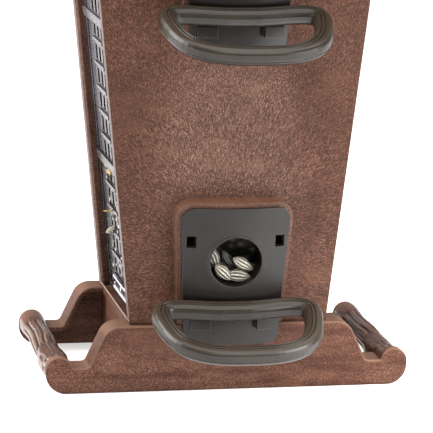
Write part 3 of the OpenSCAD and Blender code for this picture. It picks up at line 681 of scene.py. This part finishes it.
# Seed in a lower port: to the right, inwards and up in millimetres, turn in degrees, and shade
# Seeds further in get the darker shades: partly the seeds' own range of tones, partly painted shade in the
# bore.
PORT_SEED = ((4.8, 6.0, -3.0, -32, -1), (-6.0, 4.8, -7.2, -43, 0), (2.4, 5.0, -9.6, -8, 1),
             (-10.4, 8.5, 0.0, -68, 2), (-1.8, 12.0, -3.2, -58, 4), (7.4, 11.0, -7.6, 14, 3),
             (-3.0, 12.5, -7.0, -16, 4), (5.5, 16.0, -6.0, 32, 4), (-7.5, 15.5, -5.5, 18, 4))


def port_places(dice, face):
    """Places of the seed in a lower port."""
    base = bore_matrix(face)
    places = []
    for right, inward, up, turn, _ in PORT_SEED:
        spot = Matrix.Translation(Vector((right, inward, up)) * MM)
        lean = Matrix.Rotation(math.radians(-turn), 4, "Y")
        spin = Matrix.Rotation(dice.gauss(1.35, 0.15), 4, "X")
        places.append(base @ spot @ lean @ spin)
    return places


# Husk and kernel bits caught in the left window's slots: place and size in millimetres
WINDOW_BITS = ((-57.2, 10.4, 112.0, 3.2, 3.4, 2.6), (-57.0, 5.6, 109.2, 3.0, 3.6, 2.8),
               (-57.3, -1.0, 109.6, 2.4, 3.0, 2.2), (-56.2, 3.6, 87.4, 8.4, 1.6, 1.1))


def caught_bits(dice):
    """Uneven lumps, one of them a flat sliver that pokes out."""
    bm = bmesh.new()
    for *place, long, deep, high in WINDOW_BITS:
        made = bmesh.ops.create_icosphere(bm, subdivisions=2, radius=0.5)["verts"]
        for vert in made:
            vert.co = vert.co * dice.uniform(0.86, 1.12)
            lump = Vector((vert.co.x * long, vert.co.y * deep, vert.co.z * high))
            vert.co = lump * MM + Vector(place) * MM
    for face in bm.faces:
        face.smooth = True
    return finished_mesh(bm, "caught_bits")


# Slivers of hull on each side, and how far up and across they lie, in millimetres
SHARDS = 80
SHARD_HEIGHTS = (40, 116)
SHARD_ACROSS = 24


def hull_shards(dice):
    """Thin slivers of broken hull caught in the slots of both windows, below the top of the seed."""
    bm = bmesh.new()
    for side in (-1, 1):
        for _ in range(SHARDS):
            z = dice.uniform(*SHARD_HEIGHTS) * MM
            x = side * (outer_x(z) + dice.uniform(-0.6, 0.3) * MM)
            place = Vector((x, dice.uniform(-SHARD_ACROSS, SHARD_ACROSS) * MM, z))
            turn = Euler((dice.uniform(-0.9, 0.9), dice.gauss(0, 0.2), dice.gauss(0, 0.3))).to_matrix()
            size = Vector((dice.uniform(0.5, 0.9), dice.uniform(0.9, 1.8), dice.uniform(2.4, 5.2)))
            for vert in bmesh.ops.create_icosphere(bm, subdivisions=2, radius=0.5)["verts"]:
                vert.co = place + turn @ Vector([c * s * MM for c, s in zip(vert.co, size)])
    for face in bm.faces:
        face.smooth = True
    return finished_mesh(bm, "hull_shards")


# Ribs across the foot of each window: height, half length, depth and height of the section in millimetres
WINDOW_RIBS = ((46.5, 24, 1.5, 1.9), (40.0, 26, 1.5, 1.9))


def foot_ribs(side):
    """Rounded ribs across the foot of a window, tapered at both ends."""
    bm = bmesh.new()
    sides, steps = 12, 28
    for height, half, deep, high in WINDOW_RIBS:
        centre_x = outer_x(height * MM) + 0.35 * MM
        rows = []
        for i in range(steps + 1):
            s = (2 * i / steps - 1) * 0.998
            size = math.sqrt(1 - s ** 16)
            row = []
            for j in range(sides):
                a = 2 * math.pi * j / sides
                x = side * (centre_x + math.cos(a) * deep / 2 * size * MM)
                row.append(bm.verts.new((x, s * half * MM, (height + math.sin(a) * high / 2 * size) * MM)))
            rows.append(row)
        skin_rows(bm, rows)
    return finished_mesh(bm, "foot_ribs")


def add_window_ribs():
    """Ribs at the feet of both windows."""
    skin = clear_plastic("rib_clear", srgb(204, 203, 212), srgb(230, 230, 237), False)
    for name, side in (("left", -1), ("right", 1)):
        add_piece(f"{name}_window_ribs", foot_ribs(side), skin, "feeder")


def bead_mesh(side):
    """Rounded bead along the outer top edge of an end wall's lip."""
    bm = bmesh.new()
    x = END_WALL[1].x - 0.2 * MM
    z = END_WALL[1].z - 0.25 * MM
    half = END_WALL[1].y - 4.0 * MM
    radius = 0.45 * MM
    sides, steps = 12, 20
    rows = []
    for i in range(steps + 1):
        s = 2 * i / steps - 1
        rows.append([bm.verts.new((side * (x + math.cos(a) * radius), s * half, z + math.sin(a) * radius))
                     for a in (2 * math.pi * j / sides for j in range(sides))])
    skin_rows(bm, rows)
    return finished_mesh(bm, "lip_bead")


def add_lip_beads():
    """Beads along the lips of both end walls."""
    # Painted highlight: the beads are coloured pale as lit lines.
    skin = bead_highlight_finish("bead_painted_highlight")
    for name, side in (("left", -1), ("right", 1)):
        add_piece(f"{name}_lip_bead", bead_mesh(side), skin, "feeder")


def fill_with_seed():
    """Seed in the hopper and its lower ports, and the bits caught in the windows."""
    dice = random.Random(71)
    skin = seed_skin("seed_striped")
    add_piece("seed_heap", seed_mesh("seed_heap", dice, heap_places(dice)), skin, "feeder")
    heap_core(core_skin("seed_deep"))
    add_piece("seed_bits", caught_bits(dice), husk_skin("husk_golden"), "feeder")
    add_piece("seed_shards", hull_shards(random.Random(5)), shard_skin("hull_broken"), "feeder")
    poking = Euler((0.5, -0.25, 0.3)).to_matrix().to_4x4() @ Matrix.Scale(0.8, 4)
    poking = Matrix.Translation(Vector((-53.8, 5.5, 76.4)) * MM) @ poking
    add_piece("seed_caught", seed_mesh("seed_caught", dice, [poking], [-2]), skin, "feeder")
    shades = [row[-1] for row in PORT_SEED]
    for face in ("front", "back"):
        name = f"seed_{face}_port"
        add_piece(name, seed_mesh(name, dice, port_places(dice, face), shades), skin, "feeder")


# Floor: its radius in metres, the sides of its rim, and the gap under the object
FLOOR_R = 6.0
FLOOR_SIDES = 24
FLOOR_GAP = 0.3 * MM


def build_stage():
    """Pale floor far wider than the view."""
    bm = bmesh.new()
    turns = (2 * math.pi * i / FLOOR_SIDES for i in range(FLOOR_SIDES))
    rim = [bm.verts.new((FLOOR_R * math.cos(a), FLOOR_R * math.sin(a), 0)) for a in turns]
    bm.faces.new(rim).normal_update()
    mesh = bpy.data.meshes.new("floor")
    bm.to_mesh(mesh)
    bm.free()
    floor = bpy.data.objects.new("floor", mesh)
    bpy.context.scene.collection.objects.link(floor)
    mesh.materials.append(floor_finish("floor_pale"))
    floor.location.z = -FLOOR_GAP


def area_light(name, place, aim, size, power):
    """Soft lamp of a size in metres, turned from its place to its aim."""
    lamp = bpy.data.lights.new(name, "AREA")
    lamp.shape = "RECTANGLE"
    lamp.size, lamp.size_y = size
    lamp.energy = power
    light = bpy.data.objects.new(name, lamp)
    bpy.context.scene.collection.objects.link(light)
    light.visible_camera = False
    light.location = place
    light.rotation_euler = (Vector(aim) - Vector(place)).to_track_quat("-Z", "Y").to_euler()


# Brightness of the surround, and the lamps: name, place, aim, size in metres, and power in watts
SURROUND = 0.42
MIDDLE = (0, 0, 0.15)
LAMPS = (("overhead", (0.2, -0.1, 1.9), MIDDLE, (2.0, 2.0), 36),
         ("side_left", (-1.2, 0.2, 0.75), MIDDLE, (1.0, 1.2), 35),
         ("front_top", (0.15, -1.1, 1.0), MIDDLE, (0.9, 0.5), 6),
         ("side_right", (0.46, -0.4, 0.17), MIDDLE, (0.5, 0.3), 2.7),
         ("floor_right", (0.13, -0.17, 0.09), (0.13, -0.17, 0), (0.14, 0.08), 0.42))


def build_light():
    """Soft studio light: a pale surround and five lamps."""
    world = bpy.data.worlds.new("studio")
    bpy.context.scene.world = world
    world.use_nodes = True
    back = world.node_tree.nodes["Background"]
    back.inputs["Color"].default_value = (1, 1, 1, 1)
    back.inputs["Strength"].default_value = SURROUND
    for lamp in LAMPS:
        area_light(*lamp)


# Camera of the photograph: bearing, height and roll in degrees, distance and aim in metres
VIEW_BEARING = -12.04
VIEW_HEIGHT = 11.85
VIEW_ROLL = 1.44
VIEW_DISTANCE = 1.523
VIEW_AIM = Vector((0.00276, 0, 0.0838))
FOCAL_PIXELS = 2750
PICTURE_PIXELS = 433
SENSOR_MM = 36


def build_camera():
    """Camera at the photograph's viewpoint."""
    bearing, height, roll = (math.radians(v) for v in (VIEW_BEARING, VIEW_HEIGHT, VIEW_ROLL))
    level = math.cos(height)
    back = Vector((math.sin(bearing) * level, -math.cos(bearing) * level, math.sin(height)))
    right = Vector((math.cos(bearing), math.sin(bearing), 0))
    up = back.cross(right)
    turned_right = right * math.cos(roll) + up * math.sin(roll)
    turned_up = up * math.cos(roll) - right * math.sin(roll)
    lens = bpy.data.cameras.new("camera")
    lens.sensor_width = SENSOR_MM
    lens.lens = FOCAL_PIXELS / PICTURE_PIXELS * SENSOR_MM
    camera = bpy.data.objects.new("camera", lens)
    bpy.context.scene.collection.objects.link(camera)
    turn = Matrix((turned_right, turned_up, back)).transposed().to_4x4()
    camera.matrix_world = Matrix.Translation(VIEW_AIM + back * VIEW_DISTANCE) @ turn
    bpy.context.scene.camera = camera


bpy.context.scene.view_settings.view_transform = "Standard"
build_camera()
build_light()
build_stage()
dress_frame()
carve_rails()
add_window_ribs()
add_lip_beads()
fill_with_seed()
